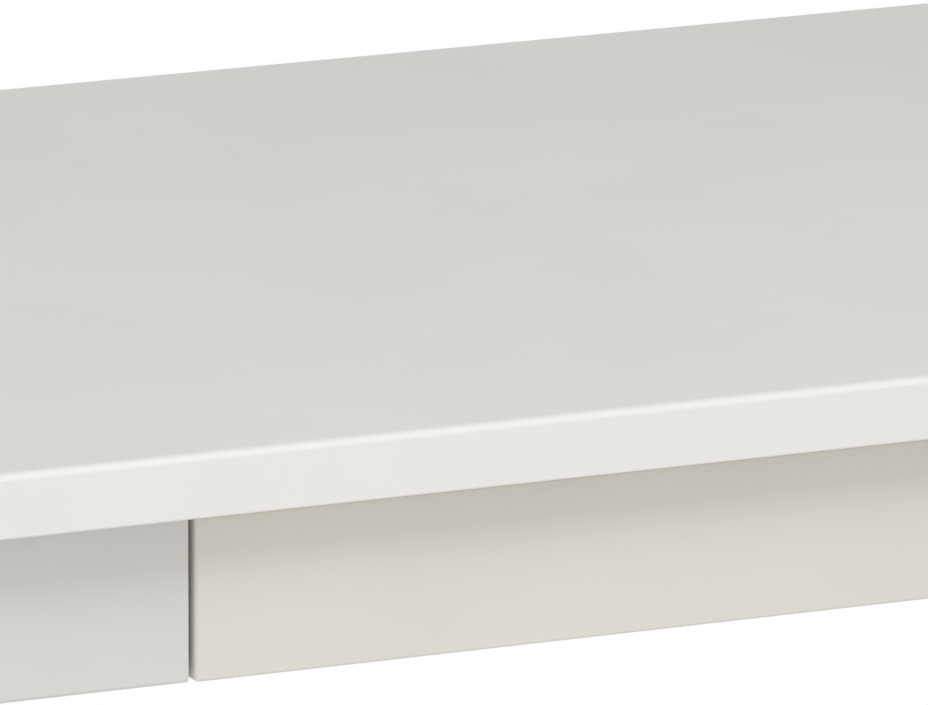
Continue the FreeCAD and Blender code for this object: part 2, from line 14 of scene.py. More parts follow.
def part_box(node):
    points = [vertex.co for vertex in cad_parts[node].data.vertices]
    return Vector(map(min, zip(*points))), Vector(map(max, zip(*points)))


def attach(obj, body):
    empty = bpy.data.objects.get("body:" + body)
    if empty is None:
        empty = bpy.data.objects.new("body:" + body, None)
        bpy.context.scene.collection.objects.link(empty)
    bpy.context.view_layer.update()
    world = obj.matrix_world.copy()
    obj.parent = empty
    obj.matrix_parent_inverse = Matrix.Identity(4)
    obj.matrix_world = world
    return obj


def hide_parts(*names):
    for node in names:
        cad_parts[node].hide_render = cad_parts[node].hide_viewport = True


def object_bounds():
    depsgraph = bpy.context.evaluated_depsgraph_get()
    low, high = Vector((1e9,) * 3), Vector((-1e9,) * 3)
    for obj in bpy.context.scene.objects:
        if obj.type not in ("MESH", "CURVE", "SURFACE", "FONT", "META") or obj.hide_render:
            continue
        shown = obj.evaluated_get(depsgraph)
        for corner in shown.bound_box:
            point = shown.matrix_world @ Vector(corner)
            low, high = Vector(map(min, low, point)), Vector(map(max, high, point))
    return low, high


MM = 0.001
DESK_HEIGHT = 0.74
FLOOR_REACH = 30
FLOOR_FADE = (0.6, 1.5)
RIGHT = 1
LEFT = -1
TOUCH = 0.01 * MM
MERGE = 0.001 * MM
SHARP_ANGLE = math.radians(30)

# camera; the turn is to the right of +Y
CAMERA_PLACE = Vector((-2.0432, -4.4887, 1.1869))
CAMERA_TURN = math.radians(24.0)
CAMERA_DIP = math.radians(13.889)
CAMERA_ROLL = math.radians(0.173)
CAMERA_LENS = 491.4
SENSOR = 36
CAMERA_NEAR = 0.1
CAMERA_FAR = 200

# lights: size, turn, rise, power and colour of each panel, all at one distance
ROOM_STRENGTH = 0.602
ROOM_COLOUR = (1.01, 1.0, 0.99)
LIGHT_DISTANCE = 2.6
KEY = ((3.0, 0.9), -10, 60, 39.3, (0.956, 1.002, 1.042))
LOW_FILL = ((1.3, 0.9), -27, -8, 3.64, (1.113, 1.031, 0.856))

# edges and bends
BAND_EDGE = 3.3 * MM
BAND_LOWER_EDGE = 0.8 * MM
BAND_SEAM = 0.12 * MM
FRONT_END_EDGE = 2.0 * MM
FRONT_EDGE = 1.0 * MM
BOARD_EDGE = 0.5 * MM
APRON_SHEET = 1.5 * MM
RUNNER_SHEET = 1.2 * MM
BEND_INSIDE = 0.1 * MM
APRON_CORNER = 3.0 * MM
FASCIA_EDGE = 0.25 * MM
APRON_FLANGE = 25 * MM
FASCIA_FLANGE = 18 * MM
APRON_LIP = 12 * MM
BACK_FLANGE = 20 * MM
BACK_RETURN = 60 * MM
CORNER_STEPS = 8
BEND_STEPS = 5
BRACKET_LIP = 8 * MM
ROOF_WIDTH = 4.9 * MM
RAIL_FLANGE = 4.5 * MM
STOP_HEIGHT = 4 * MM
STOP_PLAY = 0.5 * MM
TAB_CORNER = 1.2 * MM

# finishes
FOIL_COLOUR = (0.667, 0.645, 0.621)
# edge band: paler than the foil; on its up-facing rounding it is painted down to the foil's tone, as painted shade
BAND_COLOUR = (0.862, 0.848, 0.816)
STEEL_COLOUR = (0.728, 0.726, 0.698)
PAINT_COLOUR = (0.768, 0.743, 0.679)
RUNNER_COLOUR = (0.80, 0.80, 0.78)
BROWN_FIBRE = ((0.23, 0.138, 0.07), (0.35, 0.225, 0.123))
WHITE_LACQUER = ((0.71, 0.70, 0.67), (0.74, 0.73, 0.70))
NYLON = ((0.60, 0.59, 0.56), (0.66, 0.65, 0.62))
BEECH = ((0.52, 0.35, 0.19), (0.66, 0.48, 0.29))
AXLE_COLOUR = (0.62, 0.62, 0.61)
SCREW_COLOUR = (0.60, 0.60, 0.58)
CAM_COLOUR = (0.42, 0.42, 0.42)
FLOOR_TONES = ((0.88, 0.88, 0.88), (0.92, 0.92, 0.92))
MOTTLE = 0.015
BAND_MOTTLE = 0.008
SPECK_SIZE = 1.7
SPECK_TONE = 0.965

# fittings
INSERT_FLANGE = 1.2 * MM
INSERT_SHANK_SHARE = 0.75
INSERT_THREADS = 11
INSERT_PITCH = 1.25 * MM
INSERT_CREST = 3.4 * MM
INSERT_BORE = 3.9 * MM
INSERT_RADIUS = 6 * MM
INSERT_RIM = 8 * MM
INSERT_CHAMFER = 0.5 * MM
INSERT_LENGTH = 15 * MM
RECESS_TAPER = 0.55
DOME_STEPS = 6
SCREW_THREADS = 10
THREAD_PITCH = 1 * MM
SCREW_RADIUS = 1.75 * MM
SCREW_CORE = 1.3 * MM
PAN_RADIUS = 3.5 * MM
PAN_HEIGHT = 2 * MM
PAN_LENGTH = 13.9 * MM
FLAT_RADIUS = 3.4 * MM
FLAT_LENGTH = 34.9 * MM
FLAT_POINT = 3 * MM
HEAD_SINK = 0.05 * MM
CROSS_REACH = 2.0 * MM
CROSS_DEPTH = 1.5 * MM
CROSS_WIDTH = 0.75 * MM
SCREW_TWIST = 37
RIVET_HEAD = 0.5 * MM
RIVET_FLANGE = 2.4 * MM
RIVET_RADIUS = 1.6 * MM
RIVET_GRIP = 2.7 * MM
RIVET_TAIL = 2.35 * MM
RIVET_LENGTH = 3.9 * MM
BOLT_HEAD = 2.6 * MM
BOLT_FLANGE = 4.8 * MM
BOLT_RADIUS = 2.5 * MM
BOLT_TIP = 0.4 * MM
BOLT_LENGTH = 9 * MM
SOCKET_RADIUS = 1.75 * MM
SOCKET_DEPTH = 1.8 * MM
NUT_RADIUS = 4.6 * MM
NUT_HEIGHT = 4 * MM
NUT_CHAMFER = 0.45 * MM
CAM_RADIUS = 6 * MM
CAM_DEPTH = 10 * MM
CAM_RIM = 0.35 * MM
CAM_CROSS_REACH = 3.2 * MM
CAM_CROSS_DEPTH = 2.4 * MM
CAM_CROSS_WIDTH = 1.1 * MM
AXLE_HEAD = 1 * MM
AXLE_RADIUS = 2.5 * MM
AXLE_POINT = 0.3 * MM
AXLE_FLANGE = 4.0 * MM
AXLE_RIM = 0.45 * MM
AXLE_EASE = 0.4 * MM
AXLE_CROWN = 1.4 * MM
ROLLER_BORE = 2.55 * MM
HUB_WALL = 1.8 * MM
HUB_CHAMFER = 0.2 * MM
RIM_WALL = 1.6 * MM
WEB_SINK = 0.7 * MM
WEB_SLOPE = 0.3 * MM
TREAD_ROUND = 0.8 * MM
TREAD_STEPS = 5
SCREW_HOLE = 2 * MM

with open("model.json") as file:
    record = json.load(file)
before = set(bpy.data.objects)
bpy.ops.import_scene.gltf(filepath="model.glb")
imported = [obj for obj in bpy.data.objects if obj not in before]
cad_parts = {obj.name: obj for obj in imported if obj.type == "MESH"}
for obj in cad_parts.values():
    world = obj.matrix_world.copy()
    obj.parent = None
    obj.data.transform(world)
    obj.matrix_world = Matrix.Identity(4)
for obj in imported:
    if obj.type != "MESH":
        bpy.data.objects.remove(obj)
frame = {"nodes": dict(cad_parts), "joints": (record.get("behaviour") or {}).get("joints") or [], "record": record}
cad_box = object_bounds()
record = frame["record"]
BODY_OF = {node: body for body, nodes in record["behaviour"]["bodies"].items() for node in nodes}
SLOT_OF = {part["node"]: part["material_slot"] for part in record["subparts"]}


# Materials

class Tree:
    """A short way to write a node tree."""

    def __init__(self, name):
        self.material = bpy.data.materials.new(name)
        self.material.use_nodes = True
        self.tree = self.material.node_tree
        self.surface = self.tree.nodes["Principled BSDF"]
        self.place = self.node("ShaderNodeTexCoord").outputs["Object"]

    def node(self, kind, inputs=None, **settings):
        made = self.tree.nodes.new(kind)
        for key, value in settings.items():
            setattr(made, key, value)
        for key, value in (inputs or {}).items():
            self.feed(made.inputs[key], value)
        return made

    def feed(self, socket, value):
        if isinstance(value, bpy.types.NodeSocket):
            self.tree.links.new(value, socket)
        else:
            socket.default_value = value

    def noise(self, size, detail=2.0, stretch=(1, 1, 1)):
        """Noise whose features are about this many metres across."""
        where = self.node("ShaderNodeMapping", {"Vector": self.place, "Scale": stretch})
        return self.node("ShaderNodeTexNoise", {
            "Vector": where.outputs["Vector"], "Scale": 1 / size, "Detail": detail}).outputs["Fac"]

    def ramp(self, value, low, high, start=0.3, end=0.7):
        return self.node("ShaderNodeMapRange", {
            "Value": value, "From Min": start, "From Max": end,
            "To Min": low, "To Max": high}).outputs["Result"]

    def mix(self, share, first, second):
        """A mix of two colours; the node's sockets go by number, because their names repeat."""
        made = self.node("ShaderNodeMix", data_type="RGBA")
        self.feed(made.inputs[0], share)
        self.feed(made.inputs[6], first)
        self.feed(made.inputs[7], second)
        return made.outputs[2]

    def between(self, value, tones):
        """A colour between two tones, by a noise's middle range."""
        dark, pale = tones
        return self.mix(self.ramp(value, 0, 1), (*dark, 1), (*pale, 1))

    def facing_up(self):
        """How much the surface faces up, from -1 to 1."""
        normal = self.node("ShaderNodeNewGeometry").outputs["Normal"]
        return self.node("ShaderNodeSeparateXYZ", {"Vector": normal}).outputs["Z"]

    def maths(self, operation, first, second):
        made = self.node("ShaderNodeMath", operation=operation)
        self.feed(made.inputs[0], first)
        self.feed(made.inputs[1], second)
        return made.outputs[0]

    def bump(self, height, depth, under=None):
        made = self.node("ShaderNodeBump", {"Height": height, "Distance": depth, "Strength": 1.0})
        if under is not None:
            self.feed(made.inputs["Normal"], under)
        return made.outputs["Normal"]

    def set(self, **values):
        for key, value in values.items():
            self.feed(self.surface.inputs[key.replace("_", " ")], value)
        return self.material


def shade(colour, factor):
    return tuple(channel * factor for channel in colour) + (1.0,)


def coated(name, colour, roughness, peel, peel_depth, grain, grain_depth):
    """A thin coat over a board or sheet: a slow mottle, a wavy peel and a finer grain."""
    tree = Tree(name)
    slow = tree.noise(90 * MM, detail=3)
    speck = tree.noise(grain * SPECK_SIZE)
    tone = tree.mix(tree.ramp(slow, 0, 1), shade(colour, 1 - MOTTLE), shade(colour, 1 + MOTTLE))
    tone = tree.mix(tree.ramp(speck, 0, 0.35, 0.55, 0.75), tone, shade(colour, SPECK_TONE))
    waves = tree.bump(tree.noise(peel), peel_depth)
    fine = tree.bump(tree.noise(grain, detail=1), grain_depth, waves)
    rough = tree.ramp(tree.noise(25 * MM, detail=4), roughness - 0.03, roughness + 0.04)
    return tree.set(Base_Color=tone, Roughness=rough, Normal=fine)


def band_plastic():
    """Edge band: smooth plastic with faint drawing lines; painted shade turns it to the foil's darker tone where
    its rounded edge faces up.
    """
    tree = Tree("edge_band")
    cloud = tree.ramp(tree.noise(60 * MM), 0, 1)
    plastic = tree.mix(
        cloud, shade(BAND_COLOUR, 1 - BAND_MOTTLE), shade(BAND_COLOUR, 1 + BAND_MOTTLE))
    # painted shade: the more the band faces up, the more it takes the foil's darker tone
    painted_shade_facing_up = tree.ramp(tree.facing_up(), 0, 1, 0.35, 1)
    tone = tree.mix(painted_shade_facing_up, plastic, (*FOIL_COLOUR, 1))
    lines = tree.bump(tree.noise(0.5 * MM, stretch=(0.01, 0.01, 1)), 0.004 * MM)
    pebble = tree.bump(tree.noise(0.9 * MM, detail=1), 0.006 * MM, lines)
    rough = tree.ramp(tree.noise(18 * MM, detail=4), 0.46, 0.52)
    return tree.set(Base_Color=tone, Roughness=rough, Normal=pebble)


def hardboard():
    """White lacquer above; below, bare brown fibre with a pressed screen pattern."""
    tree = Tree("bottom_board")
    above = tree.maths("GREATER_THAN", tree.facing_up(), 0.5)
    brown = tree.between(tree.noise(0.7 * MM, detail=5, stretch=(1, 0.5, 1)), BROWN_FIBRE)
    white = tree.between(tree.noise(40 * MM), WHITE_LACQUER)
    cells = {"Vector": tree.place, "Scale": 1 / (1.6 * MM), "Randomness": 0.15}
    screen = tree.node("ShaderNodeTexVoronoi", cells, feature="F1").outputs["Distance"]
    height = tree.mix(above, screen, tree.noise(0.7 * MM))
    return tree.set(
        Base_Color=tree.mix(above, brown, white), Roughness=tree.mix(above, (0.8,) * 4, (0.42,) * 4),
        Normal=tree.bump(height, 0.03 * MM))


def nylon():
    """Moulded nylon: waxy, a little translucent, with rub marks round the tread."""
    tree = Tree("roller_nylon")
    tone = tree.between(tree.noise(3 * MM), NYLON)
    rub = tree.bump(tree.noise(0.4 * MM, stretch=(4, 0.4, 0.4)), 0.01 * MM)
    return tree.set(
        Base_Color=tone, Roughness=tree.ramp(tree.noise(2 * MM), 0.30, 0.45), Normal=rub,
        Subsurface_Weight=0.15, Subsurface_Radius=(1.5 * MM, 1.4 * MM, 1.2 * MM), Subsurface_Scale=1.0)


def zinc(name, colour, roughness, grain):
    """Plated or cast metal: cloudy tone, patchy gloss and a fine tooth."""
    tree = Tree(name)
    cloud = tree.noise(4 * MM, detail=4)
    tone = tree.mix(tree.ramp(cloud, 0, 1), shade(colour, 0.88), shade(colour, 1.06))
    rough = tree.ramp(tree.noise(1.5 * MM, detail=3), roughness - 0.06, roughness + 0.1)
    return tree.set(
        Base_Color=tone, Metallic=1.0, Roughness=rough, Normal=tree.bump(tree.noise(grain), 0.01 * MM))


def beech():
    """Bare beech: short dark flecks along the grain."""
    tree = Tree("dowel_beech")
    fleck = tree.noise(0.8 * MM, detail=4, stretch=(1, 0.15, 1))
    tone = tree.between(fleck, BEECH)
    return tree.set(Base_Color=tone, Roughness=0.6, Normal=tree.bump(fleck, 0.02 * MM))


MATERIALS = {
    "worktop_foil": coated(
        "worktop_foil", FOIL_COLOUR, 0.44, peel=3.2 * MM, peel_depth=0.012 * MM, grain=0.55 * MM,
        grain_depth=0.014 * MM),
    "edge_band": band_plastic(),
    "apron_steel": coated(
        "apron_steel", STEEL_COLOUR, 0.40, peel=1.9 * MM, peel_depth=0.016 * MM, grain=0.45 * MM,
        grain_depth=0.008 * MM),
    "bracket_steel": coated(
        "bracket_steel", STEEL_COLOUR, 0.42, peel=2.2 * MM, peel_depth=0.02 * MM, grain=0.5 * MM,
        grain_depth=0.008 * MM),
    "drawer_paint": coated(
        "drawer_paint", PAINT_COLOUR, 0.42, peel=2.6 * MM, peel_depth=0.014 * MM, grain=0.6 * MM,
        grain_depth=0.007 * MM),
    "drawer_foil": coated(
        "drawer_foil", FOIL_COLOUR, 0.5, peel=2.5 * MM, peel_depth=0.01 * MM, grain=0.5 * MM,
        grain_depth=0.012 * MM),
    "runner_steel": coated(
        "runner_steel", RUNNER_COLOUR, 0.3, peel=4 * MM, peel_depth=0.02 * MM, grain=0.9 * MM,
        grain_depth=0.004 * MM),
    "bottom_board": hardboard(),
    "roller_nylon": nylon(),
    "axle_steel": zinc("axle_steel", AXLE_COLOUR, 0.28, 0.3 * MM),
    "screw_zinc": zinc("screw_zinc", SCREW_COLOUR, 0.32, 0.35 * MM),
    "cam_zinc": zinc("cam_zinc", CAM_COLOUR, 0.48, 0.25 * MM),
    "dowel_beech": beech(),
}


# Mesh building

def block(low, high):
    mesh = bmesh.new()
    bmesh.ops.create_cube(mesh, size=1)
    bmesh.ops.scale(mesh, vec=high - low, verts=mesh.verts)
    bmesh.ops.translate(mesh, vec=(low + high) / 2, verts=mesh.verts)
    return mesh


def round_edges(mesh, radius, wanted, steps=4):
    """Round the edges whose middle point wanted() picks."""
    edges = [edge for edge in mesh.edges if wanted((edge.verts[0].co + edge.verts[1].co) / 2, edge)]
    bmesh.ops.bevel(mesh, geom=edges, offset=radius, segments=steps, profile=0.5, affect="EDGES")


def near(first, second):
    return abs(first - second) < TOUCH


def lathe(profile, sides=40):
    """A turned solid about Z from (radius, height) pairs; it has a bore if the first radius isn't 0."""
    mesh = bmesh.new()
    rings = []
    for radius, height in profile:
        count = sides if radius > 0 else 1
        turns = [2 * math.pi * n / sides for n in range(count)]
        rings.append([
            mesh.verts.new((radius * math.cos(turn), radius * math.sin(turn), height)) for turn in turns])
    pairs = list(zip(rings, rings[1:]))
    if profile[0][0] > 0:
        pairs.append((rings[-1], rings[0]))
    for lower, upper in pairs:
        for n in range(sides):
            corners = [lower[n % len(lower)], lower[(n + 1) % len(lower)],
                       upper[(n + 1) % len(upper)], upper[n % len(upper)]]
            corners = list(dict.fromkeys(corners))
            if len(corners) > 2:
                mesh.faces.new(corners)
    return mesh


def bent_section(points, thickness):
    """Facing pairs of points along a folded sheet, from its middle line; every corner is a true bend."""
    radius = BEND_INSIDE + thickness / 2
    points = [Vector(point) for point in points]
    samples = []
    for n, point in enumerate(points):
        ahead = (points[min(n + 1, len(points) - 1)] - points[min(n, len(points) - 2)]).normalized()
        if n in (0, len(points) - 1):
            samples.append((point, ahead))
            continue
        behind = (point - points[n - 1]).normalized()
        turn = behind.angle_signed(ahead)
        side = Vector((-behind.y, behind.x)) * (-1 if turn > 0 else 1)
        start = point - behind * radius * math.tan(abs(turn) / 2)
        centre = start + side * radius
        for step in range(BEND_STEPS + 1):
            spin = Matrix.Rotation(-turn * step / BEND_STEPS, 2)
            samples.append((centre + spin @ (start - centre), spin @ behind))
    pairs = []
    for point, heading in samples:
        across = Vector((-heading.y, heading.x)) * thickness / 2
        pairs.append((tuple(point + across), tuple(point - across)))
    return pairs


def skin(pairs, stations):
    """Carry a sheet's section through a run of stations, each a function from (u, v) to a place."""
    mesh = bmesh.new()
    rows = [[(mesh.verts.new(at(*a)), mesh.verts.new(at(*b))) for a, b in pairs] for at in stations]
    for row, following in zip(rows, rows[1:]):
        for near_pair, far_pair, near_next, far_next in zip(row, row[1:], following, following[1:]):
            for face in (0, 1):
                mesh.faces.new((near_pair[face], far_pair[face], far_next[face], near_next[face]))
        for end in (0, -1):
            mesh.faces.new((*row[end], *reversed(following[end])))
    for row in (rows[0], rows[-1]):
        for first, second in zip(row, row[1:]):
            mesh.faces.new((first[0], second[0], second[1], first[1]))
    bmesh.ops.remove_doubles(mesh, verts=mesh.verts, dist=MERGE)
    return mesh


def along_y(start, end):
    return [lambda u, v, y=y: (u, y, v) for y in (start, end)]


def along_x(start, end):
    return [lambda u, v, x=x: (x, u, v) for x in (start, end)]


def along_z(start, end):
    return [lambda u, v, z=z: (u, v, z) for z in (start, end)]


def merged(meshes):
    """One mesh of several; the parts are used up."""
    whole = bmesh.new()
    for mesh in meshes:
        passing = bpy.data.meshes.new("passing")
        mesh.to_mesh(passing)
        mesh.free()
        whole.from_mesh(passing)
        bpy.data.meshes.remove(passing)
    return whole


def moved(mesh, matrix):
    bmesh.ops.transform(mesh, matrix=matrix, verts=mesh.verts)
    return mesh


def to_mesh(name, mesh):
    bmesh.ops.recalc_face_normals(mesh, faces=mesh.faces)
    data = bpy.data.meshes.new(name)
    mesh.to_mesh(data)
    mesh.free()
    return data


def carve(data, cutter):
    """A mesh less another, as a new mesh."""
    item, tool = [bpy.data.objects.new("carving", part) for part in (data, cutter)]
    for part in (item, tool):
        bpy.context.scene.collection.objects.link(part)
    cut = item.modifiers.new("cut", "BOOLEAN")
    cut.operation = "DIFFERENCE"
    cut.solver = "EXACT"
    cut.object = tool
    graph = bpy.context.evaluated_depsgraph_get()
    result = bpy.data.meshes.new_from_object(item.evaluated_get(graph))
    for part in (item, tool):
        bpy.data.objects.remove(part)
    return result


def piece(name, data, nodes):
    """Show a mesh in place of CAD nodes: it rides where the first of them does, in its finish."""
    item = bpy.data.objects.new(name, data)
    bpy.context.scene.collection.objects.link(item)
    data.name = name
    data.materials.clear()
    data.materials.append(MATERIALS[SLOT_OF[nodes[0]]])
    data.polygons.foreach_set("use_smooth", [True] * len(data.polygons))
    data.set_sharp_from_angle(angle=SHARP_ANGLE)
    weigh = item.modifiers.new("weigh", "WEIGHTED_NORMAL")
    weigh.keep_sharp = True
    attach(item, BODY_OF[nodes[0]])
    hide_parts(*nodes)


def solid_boxes(node):
    """The low and high corners of each separate solid in a CAD node."""
    mesh = bmesh.new()
    mesh.from_mesh(frame["nodes"][node].data)
    bmesh.ops.remove_doubles(mesh, verts=mesh.verts, dist=MERGE)
    left = set(mesh.verts)
    boxes = []
    while left:
        grown = {min(left, key=lambda vert: vert.index)}
        edge = set(grown)
        while edge:
            edge = {far for vert in edge for link in vert.link_edges for far in link.verts} - grown
            grown |= edge
        left -= grown
        low = Vector([min(vert.co[axis] for vert in grown) for axis in range(3)])
        high = Vector([max(vert.co[axis] for vert in grown) for axis in range(3)])
        boxes.append((low, high))
    mesh.free()
    return sorted(boxes, key=lambda box: tuple(round(value, 5) for value in box[0]))


# Worktop

def worktop():
    low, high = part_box("worktop_board")
    board = block(low, high)
    round_edges(board, BAND_SEAM, lambda middle, edge: near(middle.z, high.z), steps=2)
    holes = []
    for insert_low, insert_high in solid_boxes("leg_insert_nuts"):
        centre = (insert_low + insert_high) / 2
        flange = (insert_high.x - insert_low.x) / 2
        for radius, top in ((flange, INSERT_FLANGE), (flange * INSERT_SHANK_SHARE, insert_high.z)):
            hole = lathe([(0, -MM), (radius, -MM), (radius, top), (0, top)])
            holes.append(moved(hole, Matrix.Translation((centre.x, centre.y, 0))))
    data = to_mesh("worktop_board", board)
    for hole in holes:
        data = carve(data, to_mesh("hole", hole))
    piece("worktop_board_foil", data, ["worktop_board"])


def bands():
    """Front and back bands take the corners; the end bands fit between them."""
    for side in ("front", "back", "left", "right"):
        node = f"worktop_band_{side}"
        low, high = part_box(node)
        band = block(low, high)
        axis = 1 if side in ("front", "back") else 0
        outer, inner = (low[axis], high[axis]) if side in ("front", "left") else (high[axis], low[axis])

        def upper(middle, edge):
            above = near(middle.z, high.z)
            if axis == 0:
                return above and near(middle.x, outer)
            at_end = near(middle.x, low.x) or near(middle.x, high.x)
            return (near(middle.y, outer) and not near(middle.z, low.z)) or (above and at_end)

        def lower(middle, edge):
            kept = near(middle.x, outer) if axis == 0 else not near(middle.y, inner)
            return near(middle.z, low.z) and kept

        round_edges(band, BAND_EDGE, upper, steps=12)
        round_edges(band, BAND_LOWER_EDGE, lower)
        round_edges(band, BAND_SEAM, lambda middle, edge: near(middle[axis], inner)
                    and near(middle.z, high.z), steps=2)
        piece(f"{node}_strip", to_mesh(node, band), [node])


# Folded steel

def side_apron():
    """A C-section swept round the front corner, with a plain return at each end."""
    low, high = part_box("side_apron_right")
    half = APRON_SHEET / 2
    section = bent_section([
        (APRON_FLANGE, high.z - half), (half, high.z - half), (half, low.z + half),
        (APRON_LIP, low.z + half)], APRON_SHEET)
    corner = Vector((high.x, low.y))

    def at_angle(turn):
        def place(inset, z):
            if inset >= APRON_CORNER:
                return (corner.x - inset, corner.y + inset, z)
            reach = APRON_CORNER - inset
            return (corner.x - APRON_CORNER + reach * math.sin(turn),
                    corner.y + APRON_CORNER - reach * math.cos(turn), z)
        return place

    turns = [at_angle(math.pi / 2 * n / CORNER_STEPS) for n in range(CORNER_STEPS + 1)]
    start = low.x + APRON_SHEET
    fascia = [lambda inset, z: (start, corner.y + inset, z)]
    wall = [lambda inset, z: (corner.x - inset, high.y - APRON_CORNER, z)]
    folded = skin(section, fascia + turns + wall)
    for vert in folded.verts:
        if vert.co.x < corner.x - APRON_FLANGE - MM and vert.co.y > corner.y + FASCIA_FLANGE:
            vert.co.y = corner.y + FASCIA_FLANGE
    front_return = block(Vector((low.x, low.y, low.z)), Vector((start, low.y + FASCIA_FLANGE, high.z)))
    bend = BEND_INSIDE + APRON_SHEET
    round_edges(front_return, bend, lambda middle, edge: near(middle.y, low.y) and near(middle.z, low.z))
    round_edges(front_return, FASCIA_EDGE, lambda middle, edge: near(middle.x, low.x)
                and middle.y < low.y + bend, steps=3)
    back_return = skin(bent_section([
        (high.x - half, high.y - APRON_CORNER), (high.x - half, high.y - half),
        (high.x - BACK_RETURN, high.y - half)], APRON_SHEET), along_z(low.z, high.z))
    return merged([folded, front_return, back_return])


def back_apron():
    low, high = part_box("back_apron")
    half = APRON_SHEET / 2
    section = bent_section([
        (high.y - BACK_FLANGE, high.z - half), (high.y - half, high.z - half),
        (high.y - half, low.z + half), (high.y - APRON_LIP, low.z + half)], APRON_SHEET)
    piece("back_apron_sheet", to_mesh("back_apron", skin(section, along_x(low.x, high.x))), ["back_apron"])


def mirrored_pair(name, suffix, build):
    """Make a right-hand piece and its left-hand twin."""
    for side, sign in (("right", RIGHT), ("left", LEFT)):
        node = f"{name}_{side}"
        mesh = moved(build(), Matrix.Diagonal((sign, 1, 1, 1)))
        piece(f"{node}_{suffix}", to_mesh(node, mesh), [node])


def runner_bracket():
    low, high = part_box("runner_bracket_right")
    half = APRON_SHEET / 2
    section = bent_section([
        (low.x + BRACKET_LIP, low.z + half), (low.x + half, low.z + half),
        (low.x + half, high.z - half), (high.x, high.z - half)], APRON_SHEET)
    return skin(section, along_y(low.y, high.y))


def cabinet_runner():
    """A channel with its track, its anti-tip roof, and the two stop tabs bent up from the track."""
    low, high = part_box("cabinet_runner_right")
    half = RUNNER_SHEET / 2
    section = bent_section([
        (low.x, low.z + half), (high.x - half, low.z + half), (high.x - half, high.z - half),
        (high.x - RUNNER_SHEET - ROOF_WIDTH, high.z - half)], RUNNER_SHEET)
    parts = [skin(section, along_y(low.y, high.y))]
    web = high.x - RUNNER_SHEET
    for y in stop_places():
        tab = block(Vector((low.x + MM, y, low.z + half)),
                    Vector((web - MM, y + APRON_SHEET, low.z + RUNNER_SHEET + STOP_HEIGHT)))
        round_edges(tab, TAB_CORNER, lambda middle, edge: middle.z > low.z + RUNNER_SHEET
                    and near(edge.verts[0].co.z, edge.verts[1].co.z)
                    and near(edge.verts[0].co.x, edge.verts[1].co.x))
        parts.append(tab)
    return merged(parts)


def stop_places():
    """Just behind the closed drawer's rear roller, and just in front of where it ends its travel."""
    low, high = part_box("rear_roller_right")
    travel = next(joint for joint in frame["joints"] if joint["name"] == "drawer_slide")["range_m"][1]
    return (high.y + STOP_PLAY, low.y - travel - STOP_PLAY - APRON_SHEET)


def drawer_runner():
    low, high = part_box("drawer_runner_right")
    half = RUNNER_SHEET / 2
    web = high.x - RAIL_FLANGE - half
    section = bent_section([
        (low.x, low.z + half), (web, low.z + half), (web, high.z - half), (high.x, high.z - half)],
        RUNNER_SHEET)
    return skin(section, along_y(low.y, high.y))


# Small metal

def cross_recess(reach, depth, width):
    """A tapered cross, open upwards, its mouth at height 0."""
    parts = []
    for along in (0, 1):
        arm = block(Vector((-reach, -width / 2, -depth)), Vector((reach, width / 2, depth)))
        for vert in arm.verts:
            if vert.co.z < 0:
                vert.co.x *= RECESS_TAPER
                vert.co.y *= RECESS_TAPER
        parts.append(moved(arm, Matrix.Rotation(along * math.pi / 2, 4, "Z")))
    return parts


def dome(radius, height):
    """Points of a domed head, from its crown on the axis down to its rim at height 0."""
    turns = [math.pi / 2 * n / DOME_STEPS for n in range(DOME_STEPS + 1)]
    return [(radius * math.sin(turn), height * math.cos(turn)) for turn in turns]


def ridges(crest, root, top, pitch, count):
    """A thread shown as rings, from the top down."""
    points = []
    for ring in range(count):
        height = top - pitch * ring
        points += [(root, height + pitch / 4), (crest, height), (root, height - pitch / 4)]
    return points


def pan_screw():
    """Domed head above height 0, threaded shank below."""
    thread = ridges(SCREW_RADIUS, SCREW_CORE, -2 * THREAD_PITCH, THREAD_PITCH, SCREW_THREADS)
    profile = dome(PAN_RADIUS, PAN_HEIGHT) + [(SCREW_RADIUS, 0)] + thread + [(0, -PAN_LENGTH)]
    data = to_mesh("pan_screw", lathe(profile[::-1], sides=28))
    for arm in cross_recess(CROSS_REACH, CROSS_DEPTH, CROSS_WIDTH):
        data = carve(data, to_mesh("recess", moved(arm, Matrix.Translation((0, 0, PAN_HEIGHT)))))
    return data


def flat_screw():
    """Countersunk head flush at height 0, plain shank and point below."""
    head = FLAT_RADIUS - SCREW_RADIUS
    profile = [
        (0, -FLAT_LENGTH), (SCREW_CORE, FLAT_POINT - FLAT_LENGTH), (SCREW_RADIUS, FLAT_POINT - FLAT_LENGTH),
        (SCREW_RADIUS, -head), (FLAT_RADIUS, -HEAD_SINK), (0, -HEAD_SINK)]
    data = to_mesh("flat_screw", lathe(profile, sides=28))
    for arm in cross_recess(CROSS_REACH, CROSS_DEPTH, CROSS_WIDTH):
        data = carve(data, to_mesh("recess", arm))
    return data


def rivet():
    """Domed head above height 0; under the two sheets, the formed tail."""
    formed = dome(RIVET_TAIL, RIVET_LENGTH - RIVET_GRIP)
    tail = [(radius, -RIVET_GRIP - height) for radius, height in formed]
    head = dome(RIVET_FLANGE, RIVET_HEAD)[::-1]
    profile = tail + [(RIVET_RADIUS, -RIVET_GRIP), (RIVET_RADIUS, 0)] + head
    return to_mesh("rivet", lathe(profile, sides=28))


